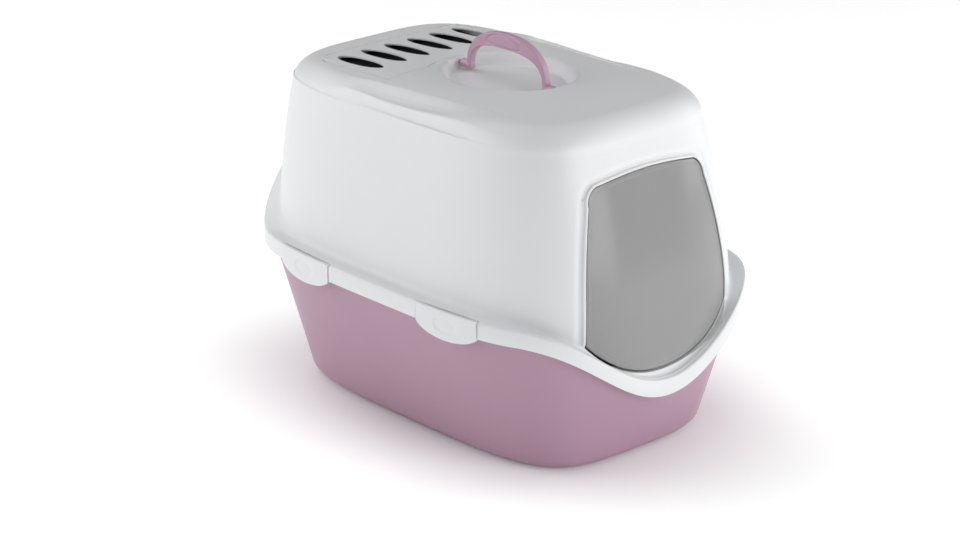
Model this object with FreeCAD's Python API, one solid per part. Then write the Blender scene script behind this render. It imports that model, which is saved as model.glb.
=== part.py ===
import FreeCAD, Part
import math
import os

# Hooded cat litter box, in millimetres. +Z is up, the doorway faces -Y, and the origin is on the floor
# under the middle of the box. The object is a mirror image of itself about the plane X = 0.

Vector = FreeCAD.Vector
UP = Vector(0, 0, 1)

# ---- overall size
LENGTH = 560.0            # hood flange, front to back
WIDTH = 392.0             # hood flange, side to side
FLANGE_POWER = 3.8        # squareness of the flange outline
REACH_HIGH = 700.0        # taller than the whole object, for cutting blocks
BODY_LOW = 60.0           # bottom of the bodies that added blocks are trimmed to
EMBED = 1.0               # added blocks stop this far under the outer surface
OVERLAP = 2.0             # how far joined pieces reach into each other
END_PLAY = 0.5            # free space beyond the tip of a peg
CLEAR = 0.3               # gap between two pieces that rest on each other
RIM_GAP = 0.9             # gap between the tray's rim and the hood's ledge

# ---- the line where the hood meets the tray: level at the sides, low in front, high behind
BAND_LOW = 165.5          # lower edge of the hood's band along the sides
BAND_HEIGHT = 20.0
FRONT_DIP = 82.4
REAR_RISE = 82.4
WAVE_REACH = 173.0        # half-width over which the line falls or rises
FRONT_POWER = 0.77        # fullness of the dip
REAR_POWER = 0.75         # fullness of the rise
REAR_FLAT = 40.0          # half-width of the level top of the rear rise

# ---- hood
WALL = 2.8                # moulded wall thickness
BAND_WALL = 4.0
SHELF = 3.5               # thickness of the ledge between wall and band
HOOD_BASE = 185.0         # height at which the lower half-sizes hold
HOOD_TOP = 390.5          # height at which the upper half-sizes hold
HALF_WIDTH_LOW = 176.0
HALF_WIDTH_TOP = 145.0
FRONT_LOW = 270.0
FRONT_TOP = 217.3
REAR_LOW = 270.0
REAR_TOP = 247.2
POWER_LOW = 3.7
POWER_TOP = 4.4
FRONT_BULGE = 4.0
SIDE_BULGE = 4.2
FOOT_TURN = 0.2           # how much the front wall straightens below the base height
FOOT_BLEND = 25.0
ROOF_EDGE = 23.0          # radius of the rounded roof edge
WALL_LEVEL = 280.0        # above this height the wall's rings are level
ROOF_TILT = 0.022         # the roof falls towards the back
ROOF_CROWN = 5.0
ROOF_STEPS = 5            # rings over the rounded roof edge
WALL_STEPS = 6            # rings between the parting line and WALL_LEVEL
WALL_TOP_RINGS = (310.0, 340.0)
RING_PASSES = 6           # a ring's outline depends on its height: rounds to settle both

# ---- tray
TRAY_WALL = 3.0
TRAY_INSET = 7.0          # tray wall inside the flange outline
BEAD_INSET = 4.6          # rim bead inside the flange outline
BEAD_DEPTH = 7.0
BEAD_SLOPE = 1.5          # height over which the bead steps out
FLOOR_HALF_WIDTH = 142.5
FLOOR_HALF_LENGTH = 230.6
FLOOR_SHIFT = -3.5
FLOOR_POWER = 4.2
FLOOR_EDGE = 14.0         # rounding between floor and wall
FLOOR_FLARE = 0.25        # how fast the wall widens at the floor

# ---- doorway and flap
DOOR_CORNER = (108.5, 160.0)
DOOR_SIDE = (103.6, 235.0)
DOOR_SIDE_TOP = (88.6, 310.0)
DOOR_TURN = (85.8, 322.0)
DOOR_TOP_CORNER = (75.0, 331.0)
DOOR_TOP = 337.0
DOOR_BOTTOM = 110.5
DOOR_AHEAD = 60.0         # how far the doorway's block reaches ahead of the wall
DOOR_BEHIND = 90.0        # and how far behind it
# directions inwards from the five points of one side of the doorway, lower corner first
DOOR_INWARD = ((-1, 1), (-1, 0), (-1, 0), (-0.8, -0.6), (-0.5, -1))
RETURN_DEPTH = 27.5       # return flange around the doorway, measured from the wall's outside
RETURN_WALL = 2.4
RETURN_FLARE = 0.2        # the return's sides open up inwards, so the flap clears them as it swings
FLAP_GAP = 1.3
FLAP_BOTTOM_GAP = 3.0     # room for the flap's lower edge, which dips a little as it swings
FLAP_RECESS = 0.8
FLAP_WALL = 2.0
FLAP_AXIS_HEIGHT = 318.0
FLAP_AXIS_DEPTH = 4.4     # axis behind the outer surface of the front wall
FLAP_PEG_RADIUS = 2.0
FLAP_PEG_TIP = 95.0
FLAP_KNUCKLE_RADIUS = 3.4
FLAP_KNUCKLE_INNER = 74.0
FLAP_KNUCKLE_OUTER = 84.6
LUG_RADIUS = 5.2
LUG_INNER = 89.6
LUG_OUTER = 96.5
RUNNING_FIT = 0.07        # radial clearance of a peg in its bore

# ---- carrying handle and its dish
HANDLE_CENTRE = -13.0
HANDLE_PIVOT = 389.5
HANDLE_THICKNESS = 9.0
ARCH_OUTER = (66.4, 50.0, 2.3)     # half-length, height, squareness
ARCH_INNER = (60.0, 32.0, 2.8)
FOOT_RADIUS = 5.2
FOOT_END = 77.0
HANDLE_PEG_RADIUS = 2.2
HANDLE_PEG_END = 83.0
LUG_END = 1.5                      # closed end of the bearing lugs behind the pegs
DISH_TOP = (72.0, 84.0)            # half-sizes where the dish meets the roof
DISH_FLOOR = (54.0, 68.0)
DISH_FLOOR_HEIGHT = 383.6
DISH_TOP_HEIGHT = 402.0
POCKET_HALF_WIDTH = 24.0           # straight end pockets that take the handle's feet
POCKET_END = 77.7

# ---- filter housing
COVER_HALF_WIDTH = 112.0
COVER_FRONT = 64.5
COVER_REAR = 199.0
COVER_CORNER = 26.0
NOTCH_HALF_WIDTH = 50.0            # the cover's front edge steps back around the dish
NOTCH_FLAT = 27.0
NOTCH_REAR = 75.5
COVER_GAP = 0.4
COVER_THICKNESS = 2.2
COVER_SEAT_GAP = 0.3
LEDGE_THICKNESS = 2.4
BASKET_HALF_WIDTH = 103.0
BASKET_FRONT = 80.5
BASKET_REAR = 190.0
BASKET_FLOOR = 373.0
BASKET_WALL = 2.4
PAD_GAP = 1.0
PAD_THICKNESS = 9.5
SLOT_COUNT = 6
SLOT_PITCH = 35.05
SLOT_CENTRE = 141.5
SLOT_HALF_LENGTH = 45.0
SLOT_HALF_WIDTH = 9.6
GRILLE_SLOTS = 9
GRILLE_SLOT_WIDTH = 12.0
GRILLE_EDGE = 8.0         # closed strip of the basket's floor before and behind its slots
LEDGE_WIDTH = 2.5         # how far the cover's seat reaches beyond the cover

# ---- latches
LATCH_CENTRE = 122.0
LATCH_HALF_WIDTH = 47.0
LATCH_DROP = 13.3         # how far the half-moon hangs below the band
LATCH_PROUD = 0.8
LATCH_WALL = 3.4          # from the flange outline inwards
LATCH_SLIT = 0.5
LATCH_AXIS_INSET = 2.0
LATCH_AXIS_DROP = 2.3     # axis below the top of the band
LATCH_PEG_RADIUS = 1.2
LATCH_PEG_LENGTH = 3.0
NOTCH_DEPTH = 3.2         # free space inward of the latch axis
THUMB_HALF = (17.0, 8.0)  # half-sizes of the thumb recess
THUMB_DEPTH = 0.8
THUMB_RISE = 3.0          # centre of the recess above the band's lower edge
LATCH_BLOCK = 12.0        # half-depth of the block that cuts a latch out of the flange
NOTCH_HEIGHT = 60.0
NOTCH_BELOW = 25.0        # how far the notch's block reaches below the band

OUTLINE_STEPS = 64        # points around the object in one outline
ARCH_STEPS = 24           # points over the handle's arch


def smooth_positive(value, width):
    return (value + math.sqrt(value * value + width * width)) / 2


def hood_size(height):
    """Half-width, front reach, rear reach and squareness of the hood's outside at a height."""
    u = (height - HOOD_BASE) / (HOOD_TOP - HOOD_BASE)
    bulge = 4 * u * (1 - u) if u > 0 else 4 * u
    half_width = HALF_WIDTH_LOW + (HALF_WIDTH_TOP - HALF_WIDTH_LOW) * u + SIDE_BULGE * bulge
    front = FRONT_LOW + (FRONT_TOP - FRONT_LOW) * u + FRONT_BULGE * bulge
    front -= FOOT_TURN * smooth_positive(HOOD_BASE - height, FOOT_BLEND)
    rear = REAR_LOW + (REAR_TOP - REAR_LOW) * u + SIDE_BULGE * bulge
    power = POWER_LOW + (POWER_TOP - POWER_LOW) * u
    return half_width, front, rear, power


def flange_size(inset):
    half_length = LENGTH / 2 - inset
    return WIDTH / 2 - inset, half_length, half_length, FLANGE_POWER


def floor_size(shrink):
    half_length = FLOOR_HALF_LENGTH - shrink
    return FLOOR_HALF_WIDTH - shrink, half_length - FLOOR_SHIFT, half_length + FLOOR_SHIFT, FLOOR_POWER


def front_wall(x, height):
    """Y of the hood's outer surface in front, at a width and a height."""
    half_width, front, rear, power = hood_size(height)
    return -front * (1 - (abs(x) / half_width) ** power) ** (1 / power)


def wave(x, side):
    """Height of the parting line above its level at the sides, at a distance from the middle.

    side is -1 in front and +1 behind.
    """
    if side < 0:
        phase = min(x / WAVE_REACH, 1)
        return -FRONT_DIP * ((1 + math.cos(math.pi * phase)) / 2) ** FRONT_POWER
    phase = min(max(x - REAR_FLAT, 0) / (WAVE_REACH - REAR_FLAT), 1)
    return REAR_RISE * ((1 + math.cos(math.pi * phase)) / 2) ** REAR_POWER


def level(height):
    return lambda x, side: height


def following(base):
    """Heights that follow the parting line, raised to base at the sides."""
    return lambda x, side: base + wave(x, side)


def ring(size, inset, height, tilt=0):
    """Closed smooth wire around the object.

    size is a fixed outline, or a function that gives the outline at a height. height is a function of the
    place on the outline. tilt lets the ring fall towards the back.
    """
    points = []
    for i in range(OUTLINE_STEPS):
        angle = 2 * math.pi * i / OUTLINE_STEPS
        c = math.cos(angle)
        s = math.sin(angle)
        side = 1 if s > 0 else -1
        z = HOOD_BASE
        for _ in range(RING_PASSES):
            half_width, front, rear, power = size(z) if callable(size) else size
            x = abs(c) ** (2 / power) * (half_width - inset)
            z = height(x, side)
        reach = (rear if side > 0 else front) - inset
        y = side * abs(s) ** (2 / power) * reach
        points.append(Vector(math.copysign(x, c), y, z - tilt * y))
    curve = Part.BSplineCurve()
    curve.interpolate(Points=points, PeriodicFlag=True)
    return Part.Wire([curve.toShape()])


def prism(size, low, high):
    return Part.Face(ring(size, 0, level(low))).extrude(Vector(0, 0, high - low))


def skin(rings):
    """Solid bounded by ruled bands between neighbouring rings, with flat first and last rings as caps."""
    faces = [Part.Face(rings[0]), Part.Face(rings[-1])]
    for low, high in zip(rings, rings[1:]):
        faces.append(Part.makeRuledSurface(low.Edges[0], high.Edges[0]))
    shell = Part.makeShell(faces)
    shell.sewShape()
    solid = Part.Solid(Part.Shell(shell.Faces))
    if solid.Volume < 0:
        solid.reverse()
    return solid


def roof_rings(inset):
    """Rings over the rounded roof edge and the crown, from the shoulder upwards."""
    rings = []
    shoulder = HOOD_TOP - ROOF_EDGE
    for i in range(ROOF_STEPS + 1):
        angle = math.pi / 2 * i / ROOF_STEPS
        size_height = shoulder + ROOF_EDGE * math.sin(angle)
        height = shoulder + (ROOF_EDGE - inset) * math.sin(angle)
        inward = inset + (ROOF_EDGE - inset) * (1 - math.cos(angle))
        share = ((size_height - HOOD_BASE) / (HOOD_TOP - HOOD_BASE)) ** 2
        size = hood_size(size_height)
        rings.append(ring(size, inward, level(height), ROOF_TILT * share))
    half = [value / 2 for value in (size[0] - inward, size[1] - inward, size[2] - inward)] + [size[3]]
    rings.append(ring(half, 0, level(height + ROOF_CROWN * 3 / 4), ROOF_TILT))
    return rings


def wall_rings(inset, base):
    """Rings up the hood's wall, from a base that may follow the parting line to the level top part."""
    rings = []
    for i in range(WALL_STEPS + 1):
        share_up = i / WALL_STEPS

        def height(x, side, up=share_up):
            return base(x, side) * (1 - up) + WALL_LEVEL * up

        rings.append(ring(hood_size, inset, height))
    for height in WALL_TOP_RINGS:
        rings.append(ring(hood_size, inset, level(height)))
    return rings


def hood_body(inset, low):
    """Closed solid of the hood's shape, moved inwards by inset, from a low level up to the roof."""
    return Part.makeLoft(wall_rings(inset, level(low)) + roof_rings(inset), True, True)


def closed_extrusion(edges, direction):
    return Part.Face(Part.Wire(edges)).extrude(direction)


def arc(a, b, c):
    return Part.Arc(a, b, c).toShape()


def door_wire(gap, bottom_gap, widening, offset):
    """The doorway's outline, drawn in by gap, in a plane that leans with the front wall."""
    low_z = DOOR_CORNER[1]
    low_y = front_wall(*DOOR_CORNER)
    lean = (front_wall(*DOOR_SIDE_TOP) - low_y) / (DOOR_SIDE_TOP[1] - low_z)

    def at(x, z):
        return Vector(x, low_y + lean * (z - low_z) + offset, z)

    outline = (DOOR_CORNER, DOOR_SIDE, DOOR_SIDE_TOP, DOOR_TURN, DOOR_TOP_CORNER)
    right = []
    left = []
    for (x, z), (step_x, step_z) in zip(outline, DOOR_INWARD):
        across = x + gap * step_x + widening
        right.append(at(across, z + gap * step_z))
        left.append(at(-across, z + gap * step_z))
    low = at(0, DOOR_BOTTOM + bottom_gap)
    high = at(0, DOOR_TOP - gap)
    return Part.Wire([
        arc(left[0], low, right[0]),
        arc(right[0], right[1], right[2]),
        arc(right[2], right[3], right[4]),
        arc(right[4], high, left[4]),
        arc(left[4], left[3], left[2]),
        arc(left[2], left[1], left[0]),
    ])


def door_block(gap, bottom_gap, flare):
    """Block through the front wall with the doorway's outline; its sides open inwards by flare."""
    ahead = door_wire(gap, bottom_gap, -flare * DOOR_AHEAD, -DOOR_AHEAD)
    behind = door_wire(gap, bottom_gap, flare * DOOR_BEHIND, DOOR_BEHIND)
    return Part.makeLoft([ahead, behind], True, True)


def flap_axis():
    return front_wall(LUG_INNER, FLAP_AXIS_HEIGHT) + FLAP_AXIS_DEPTH


def cylinder_x(radius, start, end, y, z):
    low, high = sorted((start, end))
    return Part.makeCylinder(radius, high - low, Vector(low, y, z), Vector(1, 0, 0))


def cylinder_y(radius, start, end, x, z):
    low, high = sorted((start, end))
    return Part.makeCylinder(radius, high - low, Vector(x, low, z), Vector(0, 1, 0))


def oval_ring(half_sizes, height):
    """Oval wire around the handle's centre, at a level height."""
    wire = ring((half_sizes[0], half_sizes[1], half_sizes[1], 2), 0, level(height))
    wire.translate(Vector(0, HANDLE_CENTRE, 0))
    return wire


def dish_shape(grow, floor):
    """The handle's dish: an oval bowl with straight end pockets, grown outwards by grow."""
    low = (DISH_FLOOR[0] + grow, DISH_FLOOR[1] + grow)
    top = (DISH_TOP[0] + grow, DISH_TOP[1] + grow)
    bowl = Part.makeLoft([oval_ring(low, floor), oval_ring(top, DISH_TOP_HEIGHT)], True, True)
    half = POCKET_HALF_WIDTH + grow
    end = POCKET_END + grow
    pockets = Part.makeBox(2 * half, 2 * end, DISH_TOP_HEIGHT - floor,
                           Vector(-half, HANDLE_CENTRE - end, floor))
    return bowl.fuse(pockets)


def cover_prism(gap):
    """Outline of the filter cover, drawn inwards by gap, as a tall prism."""
    left = -COVER_HALF_WIDTH + gap
    right = COVER_HALF_WIDTH - gap
    front = COVER_FRONT + gap
    rear = COVER_REAR - gap
    radius = COVER_CORNER - gap
    bend = radius * (1 - math.cos(math.pi / 4))
    step = NOTCH_HALF_WIDTH + gap
    flat = NOTCH_FLAT + gap
    notch = NOTCH_REAR + gap

    def at(x, y):
        return Vector(x, y, BASKET_FLOOR)

    edges = [
        Part.makeLine(at(left, front), at(-step, front)),
        Part.makeLine(at(-step, front), at(-flat, notch)),
        Part.makeLine(at(-flat, notch), at(flat, notch)),
        Part.makeLine(at(flat, notch), at(step, front)),
        Part.makeLine(at(step, front), at(right, front)),
        Part.makeLine(at(right, front), at(right, rear - radius)),
        arc(at(right, rear - radius), at(right - bend, rear - bend), at(right - radius, rear)),
        Part.makeLine(at(right - radius, rear), at(left + radius, rear)),
        arc(at(left + radius, rear), at(left + bend, rear - bend), at(left, rear - radius)),
        Part.makeLine(at(left, rear - radius), at(left, front)),
    ]
    return closed_extrusion(edges, UP * REACH_HIGH)


def basket_box(grow, low, high):
    return Part.makeBox(2 * (BASKET_HALF_WIDTH + grow), BASKET_REAR - BASKET_FRONT + 2 * grow, high - low,
                        Vector(-BASKET_HALF_WIDTH - grow, BASKET_FRONT - grow, low))


def lens_slot(x):
    """A slot with pointed ends, running front to back, through the roof."""
    def at(across, along):
        return Vector(x + across, SLOT_CENTRE + along, BASKET_FLOOR)

    edges = [
        arc(at(0, -SLOT_HALF_LENGTH), at(SLOT_HALF_WIDTH, 0), at(0, SLOT_HALF_LENGTH)),
        arc(at(0, SLOT_HALF_LENGTH), at(-SLOT_HALF_WIDTH, 0), at(0, -SLOT_HALF_LENGTH)),
    ]
    return closed_extrusion(edges, UP * REACH_HIGH)


def slot_positions(count, pitch):
    """Middles of a centred row of slots."""
    return [(i - (count - 1) / 2) * pitch for i in range(count)]


class LatchPlace:
    """Where one of the four latches sits: the line between its two pegs, near the flange outline."""

    def __init__(self, side, end):
        self.side = side
        inner = self.peg_point(end * (LATCH_CENTRE - LATCH_HALF_WIDTH))
        outer = self.peg_point(end * (LATCH_CENTRE + LATCH_HALF_WIDTH))
        first, second = (inner, outer) if inner.y < outer.y else (outer, inner)
        self.start = first
        self.finish = second
        self.along = (second - first).normalize()
        self.out = Vector(self.along.y, -self.along.x, 0) * side
        self.middle = (first + second) * 0.5
        self.half = (second - first).Length / 2

    def peg_point(self, y):
        half_length = LENGTH / 2
        x = WIDTH / 2 * (1 - (abs(y) / half_length) ** FLANGE_POWER) ** (1 / FLANGE_POWER)
        return Vector(self.side * (x - LATCH_AXIS_INSET), y, BAND_LOW + BAND_HEIGHT - LATCH_AXIS_DROP)

    def at(self, along, out, z):
        point = self.middle + self.along * along + self.out * out
        return Vector(point.x, point.y, z)

    def frame(self, origin, x_axis, y_axis, z_axis):
        """Matrix that places a shape with its own axes at a point."""
        matrix = FreeCAD.Matrix()
        matrix.A11, matrix.A21, matrix.A31 = x_axis.x, x_axis.y, x_axis.z
        matrix.A12, matrix.A22, matrix.A32 = y_axis.x, y_axis.y, y_axis.z
        matrix.A13, matrix.A23, matrix.A33 = z_axis.x, z_axis.y, z_axis.z
        matrix.A14, matrix.A24, matrix.A34 = origin.x, origin.y, origin.z
        return matrix

    def half_moon(self, shrink, reach_in, reach_out):
        """Block with the latch's face outline, from reach_in to reach_out across its axis."""
        half = self.half - shrink
        top = BAND_LOW + BAND_HEIGHT
        edges = [
            Part.makeLine(self.at(-half, reach_in, BAND_LOW), self.at(-half, reach_in, top)),
            Part.makeLine(self.at(-half, reach_in, top), self.at(half, reach_in, top)),
            Part.makeLine(self.at(half, reach_in, top), self.at(half, reach_in, BAND_LOW)),
            arc(self.at(half, reach_in, BAND_LOW), self.at(0, reach_in, BAND_LOW - LATCH_DROP),
                self.at(-half, reach_in, BAND_LOW)),
        ]
        return closed_extrusion(edges, self.out * (reach_out - reach_in))

    def pegs(self, radius, length, start):
        """Round pegs (or bores) on the axis at both ends, reaching from start outwards along the axis."""
        z = BAND_LOW + BAND_HEIGHT - LATCH_AXIS_DROP
        first = Part.makeCylinder(radius, length, self.at(-start, 0, z), self.along * -1)
        second = Part.makeCylinder(radius, length, self.at(start, 0, z), self.along)
        return [first, second]


LATCHES = {
    "latch_front_left": LatchPlace(-1, -1),
    "latch_rear_left": LatchPlace(-1, 1),
    "latch_front_right": LatchPlace(1, -1),
    "latch_rear_right": LatchPlace(1, 1),
}


def latch(place):
    face = prism(flange_size(-LATCH_PROUD), BAND_LOW - 2 * LATCH_DROP, BAND_LOW + BAND_HEIGHT + 1)
    face = face.cut(prism(flange_size(LATCH_WALL), BAND_LOW - 3 * LATCH_DROP, REACH_HIGH))
    tab = face.common(place.half_moon(LATCH_SLIT, -LATCH_BLOCK, LATCH_BLOCK))
    root = place.half - LATCH_SLIT - OVERLAP
    for peg in place.pegs(LATCH_PEG_RADIUS, LATCH_PEG_LENGTH + OVERLAP, root):
        tab = tab.fuse(peg)
    thumb = Part.Ellipse(Vector(0, 0, 0), THUMB_HALF[0], THUMB_HALF[1]).toShape()
    tool = Part.Face(Part.Wire([thumb])).extrude(UP * LATCH_BLOCK)
    centre = place.at(0, 0, BAND_LOW + THUMB_RISE)
    tool.transformShape(place.frame(centre, place.along, UP, place.out))
    recess = tool.cut(prism(flange_size(THUMB_DEPTH - LATCH_PROUD), 0, REACH_HIGH))
    return tab.cut(recess).removeSplitter()


def litter_tray():
    rim_top = BAND_LOW + BAND_HEIGHT - SHELF - RIM_GAP

    def bowl_rings(inset):
        rings = []
        radius = FLOOR_EDGE - inset
        for degrees in (0, 30, 60, 90):
            angle = math.radians(degrees)
            lift = radius * (1 - math.cos(angle))
            shrink = inset + radius * (1 - math.sin(angle)) - FLOOR_FLARE * lift
            rings.append(ring(floor_size(shrink), 0, level(inset + lift)))
        return rings

    rings = bowl_rings(0)
    rings.append(ring(flange_size(TRAY_INSET), 0, following(rim_top - BEAD_DEPTH)))
    rings.append(ring(flange_size(BEAD_INSET), 0, following(rim_top - BEAD_DEPTH + BEAD_SLOPE)))
    rings.append(ring(flange_size(BEAD_INSET), 0, following(rim_top)))
    rings.append(ring(flange_size(TRAY_INSET + TRAY_WALL), 0, following(rim_top)))
    rings += reversed(bowl_rings(TRAY_WALL))
    return skin(rings)


def hood_skin():
    """The hood's bare moulding: roof, walls, ledge and the band that hangs over the tray's rim."""
    top = BAND_LOW + BAND_HEIGHT
    rings = list(reversed(roof_rings(0)))
    rings += list(reversed(wall_rings(0, following(top))))
    rings.append(ring(flange_size(0), 0, following(top)))
    rings.append(ring(flange_size(0), 0, following(BAND_LOW)))
    rings.append(ring(flange_size(BAND_WALL), 0, following(BAND_LOW)))
    rings.append(ring(flange_size(BAND_WALL), 0, following(top - SHELF)))
    rings += wall_rings(WALL, following(top - SHELF))
    rings += roof_rings(WALL)
    return skin(rings)


def hood_shell():
    shell = hood_skin()
    trim = hood_body(EMBED, BODY_LOW)

    # handle dish and the bearing lugs at its two ends
    dish = dish_shape(WALL, DISH_FLOOR_HEIGHT - WALL)
    for sign in (-1, 1):
        start = HANDLE_CENTRE + sign * POCKET_END
        end = HANDLE_CENTRE + sign * (HANDLE_PEG_END + END_PLAY + LUG_END)
        dish = dish.fuse(cylinder_y(LUG_RADIUS, start, end, 0, HANDLE_PIVOT))

    # ledge, basket walls and grille floor of the filter housing
    seat_depth = COVER_THICKNESS + COVER_SEAT_GAP
    ledge = cover_prism(-LEDGE_WIDTH).common(trim).cut(hood_body(seat_depth + LEDGE_THICKNESS, BODY_LOW - 1))
    basket = basket_box(BASKET_WALL, BASKET_FLOOR - BASKET_WALL, REACH_HIGH - 1).common(trim)
    shell = shell.fuse(dish.common(trim)).fuse(ledge).fuse(basket)
    shell = shell.cut(cover_prism(0).cut(hood_body(seat_depth, BODY_LOW)))
    shell = shell.cut(basket_box(0, BASKET_FLOOR, REACH_HIGH))
    slot_length = BASKET_REAR - BASKET_FRONT - 2 * GRILLE_EDGE
    for x in slot_positions(GRILLE_SLOTS, 2 * BASKET_HALF_WIDTH / GRILLE_SLOTS):
        corner = Vector(x - GRILLE_SLOT_WIDTH / 2, BASKET_FRONT + GRILLE_EDGE, BASKET_FLOOR - 2 * BASKET_WALL)
        shell = shell.cut(Part.makeBox(GRILLE_SLOT_WIDTH, slot_length, 3 * BASKET_WALL, corner))
    shell = shell.cut(dish_shape(0, DISH_FLOOR_HEIGHT))
    for sign in (-1, 1):
        start = HANDLE_CENTRE + sign * (POCKET_END - OVERLAP)
        end = HANDLE_CENTRE + sign * (HANDLE_PEG_END + END_PLAY)
        shell = shell.cut(cylinder_y(HANDLE_PEG_RADIUS + RUNNING_FIT, start, end, 0, HANDLE_PIVOT))

    # doorway with its return flange and two bearing lugs
    flange = door_block(-RETURN_WALL, -RETURN_WALL, RETURN_FLARE).common(trim)
    flange = flange.cut(hood_body(RETURN_DEPTH, BODY_LOW - 1))
    shell = shell.fuse(flange).cut(door_block(0, 0, RETURN_FLARE))
    y = flap_axis()
    for sign in (-1, 1):
        lug = cylinder_x(LUG_RADIUS, sign * LUG_INNER, sign * LUG_OUTER, y, FLAP_AXIS_HEIGHT)
        shell = shell.fuse(lug.common(trim))
    for sign in (-1, 1):
        bore = cylinder_x(FLAP_PEG_RADIUS + RUNNING_FIT, sign * (LUG_INNER - 2 * OVERLAP),
                          sign * (FLAP_PEG_TIP + END_PLAY), y, FLAP_AXIS_HEIGHT)
        shell = shell.cut(bore)

    # notches in the band for the latches, with bores for their pegs
    for place in LATCHES.values():
        notch = Part.makeBox(2 * place.half, 2 * LATCH_BLOCK, NOTCH_HEIGHT)
        corner = place.at(-place.half, -NOTCH_DEPTH, BAND_LOW - NOTCH_BELOW)
        notch.transformShape(place.frame(corner, place.along, place.out, UP))
        shell = shell.cut(notch)
        root = place.half - END_PLAY
        for bore in place.pegs(LATCH_PEG_RADIUS + RUNNING_FIT, LATCH_PEG_LENGTH + END_PLAY, root):
            shell = shell.cut(bore)
    return shell


def flap_door():
    doorway = door_block(FLAP_GAP, FLAP_BOTTOM_GAP, 0)
    outside = hood_body(FLAP_RECESS, BODY_LOW)
    plate = outside.common(doorway).cut(hood_body(FLAP_RECESS + FLAP_WALL, BODY_LOW - 1))
    y = flap_axis()
    for sign in (-1, 1):
        knuckle = cylinder_x(FLAP_KNUCKLE_RADIUS, sign * FLAP_KNUCKLE_INNER, sign * FLAP_KNUCKLE_OUTER,
                             y, FLAP_AXIS_HEIGHT)
        peg = cylinder_x(FLAP_PEG_RADIUS, sign * (FLAP_KNUCKLE_OUTER - OVERLAP), sign * FLAP_PEG_TIP,
                         y, FLAP_AXIS_HEIGHT)
        plate = plate.fuse(knuckle.common(outside)).fuse(peg)
    return plate.removeSplitter()


def arch_face(shape, drop):
    """Half of a squared ellipse in the plane X = 0, standing on the pivot height less drop."""
    half_length, rise, power = shape
    points = []
    for i in range(ARCH_STEPS + 1):
        angle = math.pi * i / ARCH_STEPS
        c = math.cos(angle)
        y = HANDLE_CENTRE + math.copysign(abs(c) ** (2 / power), c) * half_length
        points.append(Vector(0, y, HANDLE_PIVOT + abs(math.sin(angle)) ** (2 / power) * rise))
    curve = Part.BSplineCurve()
    curve.interpolate(Points=points)
    first = points[0] - UP * drop
    last = points[-1] - UP * drop
    edges = [curve.toShape(), Part.makeLine(points[-1], last), Part.makeLine(last, first),
             Part.makeLine(first, points[0])]
    return Part.Face(Part.Wire(edges))


def carry_handle():
    half = HANDLE_THICKNESS / 2
    outside = arch_face(ARCH_OUTER, FOOT_RADIUS / 2).extrude(Vector(HANDLE_THICKNESS, 0, 0))
    inside = arch_face(ARCH_INNER, 2 * FOOT_RADIUS).extrude(Vector(HANDLE_THICKNESS, 0, 0))
    handle = outside.cut(inside)
    handle.translate(Vector(-half, 0, 0))
    for sign in (-1, 1):
        foot = cylinder_y(FOOT_RADIUS, HANDLE_CENTRE + sign * ARCH_INNER[0],
                          HANDLE_CENTRE + sign * FOOT_END, 0, HANDLE_PIVOT)
        peg = cylinder_y(HANDLE_PEG_RADIUS, HANDLE_CENTRE + sign * (FOOT_END - OVERLAP),
                         HANDLE_CENTRE + sign * HANDLE_PEG_END, 0, HANDLE_PIVOT)
        handle = handle.fuse(foot).fuse(peg)
    return handle.removeSplitter()


def filter_cover():
    plate = hood_body(0, BODY_LOW).common(cover_prism(COVER_GAP))
    plate = plate.cut(hood_body(COVER_THICKNESS, BODY_LOW - 1))
    for x in slot_positions(SLOT_COUNT, SLOT_PITCH):
        plate = plate.cut(lens_slot(x))
    return plate.removeSplitter()


def charcoal_filter():
    bottom = BASKET_FLOOR + CLEAR
    return basket_box(-PAD_GAP, bottom, bottom + PAD_THICKNESS)


def main():
    nodes = {
        "litter_tray": litter_tray(),
        "hood_shell": hood_shell(),
        "flap_door": flap_door(),
        "carry_handle": carry_handle(),
        "filter_cover": filter_cover(),
        "charcoal_filter": charcoal_filter(),
    }
    for name, place in LATCHES.items():
        nodes[name] = latch(place)
    os.makedirs("parts", exist_ok=True)
    for name, shape in nodes.items():
        shape.exportStep(f"parts/{name}.step")
        box = shape.BoundBox
        size = [round(v, 1) for v in (box.XLength, box.YLength, box.ZLength)]
        print(name, shape.isValid(), len(shape.Solids), round(shape.Volume / 1000, 1), "cm3", size)
    print("flap axis y", round(flap_axis(), 3), "z", FLAP_AXIS_HEIGHT)
    print("handle axis x 0 z", HANDLE_PIVOT)
    for name, place in LATCHES.items():
        middle = [round(v, 3) for v in place.middle]
        print(name, "axis at", middle, "along", [round(v, 5) for v in place.along])


main()
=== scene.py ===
import math

import bmesh
import bpy
import numpy as np
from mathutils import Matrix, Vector, kdtree


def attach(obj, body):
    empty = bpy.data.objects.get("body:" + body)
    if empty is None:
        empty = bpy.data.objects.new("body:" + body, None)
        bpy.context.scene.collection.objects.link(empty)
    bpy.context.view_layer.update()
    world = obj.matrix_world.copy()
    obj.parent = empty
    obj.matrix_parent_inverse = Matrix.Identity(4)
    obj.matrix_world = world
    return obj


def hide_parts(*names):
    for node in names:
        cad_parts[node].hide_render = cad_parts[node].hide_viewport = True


# Hooded cat litter box. All shapes below are worked out in millimetres in the CAD frame: +Z up, the
# doorway faces -Y, the origin on the floor. They become metres when a mesh is made.

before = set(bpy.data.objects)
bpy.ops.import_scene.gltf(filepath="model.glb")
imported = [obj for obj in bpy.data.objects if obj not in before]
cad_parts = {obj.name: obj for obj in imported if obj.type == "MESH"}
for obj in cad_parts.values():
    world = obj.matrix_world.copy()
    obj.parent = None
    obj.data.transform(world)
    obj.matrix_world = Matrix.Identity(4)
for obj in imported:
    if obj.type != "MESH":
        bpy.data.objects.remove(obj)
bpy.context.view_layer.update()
MM = 0.001

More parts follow.
